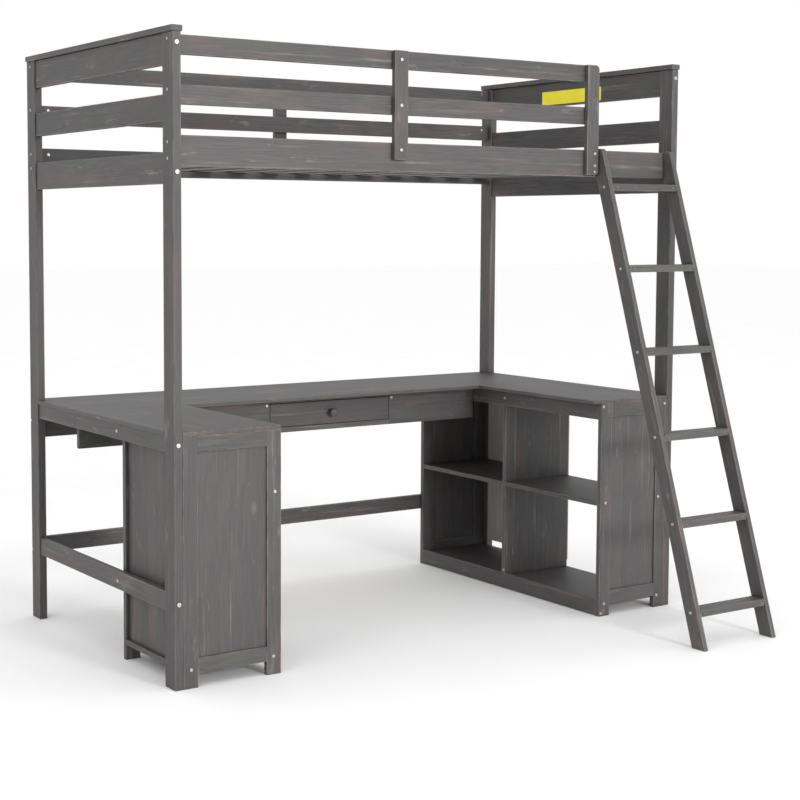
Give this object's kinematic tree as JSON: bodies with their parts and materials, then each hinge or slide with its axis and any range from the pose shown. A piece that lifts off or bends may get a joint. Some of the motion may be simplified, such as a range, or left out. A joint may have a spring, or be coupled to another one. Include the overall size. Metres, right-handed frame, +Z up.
{
  "type": "loft bed with desk",
  "caption": "Twin loft bed over a U-shaped desk, with a sliding drawer, a hinged cabinet door, open bookshelf cubbies, guard rails and a leaning ladder.",
  "frame": {"origin": "middle of the footprint (ladder included) on the floor", "axes": "+X along the bed towards the ladder end, +Y from the ladder side to the back, +Z up"},
  "size_m": [2.0312, 1.6214, 1.953],
  "materials": {
    "grey_pine": "satin grey-washed stain with visible grain",
    "bare_pine": "unfinished pine",
    "pale_pine": "satin pale grey stain with visible grain",
    "steel_hardware": "zinc-plated"
  },
  "bodies": {
    "bed_frame": {"back_stretcher": "grey_pine", "barrel_nuts": "steel_hardware", "bed_slats": "grey_pine", "bolts": "steel_hardware", "bookshelf_bottom": "grey_pine", "bookshelf_divider": "grey_pine", "bookshelf_end_panels": "grey_pine", "bookshelf_front_frame": "grey_pine", "bookshelf_rails": "grey_pine", "bookshelf_rear_frame": "grey_pine", "bookshelf_shelves": "grey_pine", "bookshelf_side_panel": "pale_pine", "cabinet_back_frame": "grey_pine", "cabinet_bottom": "grey_pine", "cabinet_end_panels": "grey_pine", "cabinet_front_frame": "grey_pine", "cabinet_hinge_leaves": "steel_hardware", "cabinet_shelf": "grey_pine", "cabinet_side_panel": "grey_pine", "desk_apron_left": "grey_pine", "desk_apron_right": "grey_pine", "desk_back_rail": "grey_pine", "desk_drawer_rails": "grey_pine", "desk_side_apron_left": "grey_pine", "desk_side_apron_right": "grey_pine", "desk_top_left": "grey_pine", "desk_top_main": "grey_pine", "desk_top_right": "grey_pine", "drawer_case_sides": "grey_pine", "drawer_runners": "bare_pine", "end_boards_left": "grey_pine", "end_boards_right": "grey_pine", "end_cap_left": "grey_pine", "end_cap_right": "grey_pine", "guard_rail_back_middle": "grey_pine", "guard_rail_back_top": "grey_pine", "guard_rail_front_middle": "grey_pine", "guard_rail_front_top": "grey_pine", "guard_slat_end": "grey_pine", "guard_slats_middle": "grey_pine", "ladder_rail_left": "grey_pine", "ladder_rail_right": "grey_pine", "ladder_rungs": "grey_pine", "left_stretcher": "grey_pine", "post_back_left": "grey_pine", "post_back_right": "grey_pine", "post_front_left": "grey_pine", "post_front_right": "grey_pine", "side_rail_back": "grey_pine", "side_rail_front": "grey_pine", "slat_ledgers": "grey_pine"},
    "drawer": {"drawer_front": "grey_pine", "drawer_sides": "bare_pine", "drawer_back": "bare_pine", "drawer_bottom": "bare_pine", "drawer_knob": "grey_pine"},
    "door": {"cabinet_door_frame": "grey_pine", "cabinet_door_panel": "grey_pine", "cabinet_door_knob": "grey_pine", "cabinet_door_leaves": "steel_hardware"}
  },
  "joints": [
    {"name": "drawer_slide", "type": "slide", "parent": "bed_frame", "child": "drawer", "axis": [0, -1, 0], "range_m": [0, 0.25]},
    {"name": "door_hinge", "type": "hinge", "parent": "bed_frame", "child": "door", "pos_m": [-0.6405, -0.2605, 0.412], "axis": [0, 0, -1], "range_deg": [0, 110]}
  ]
}
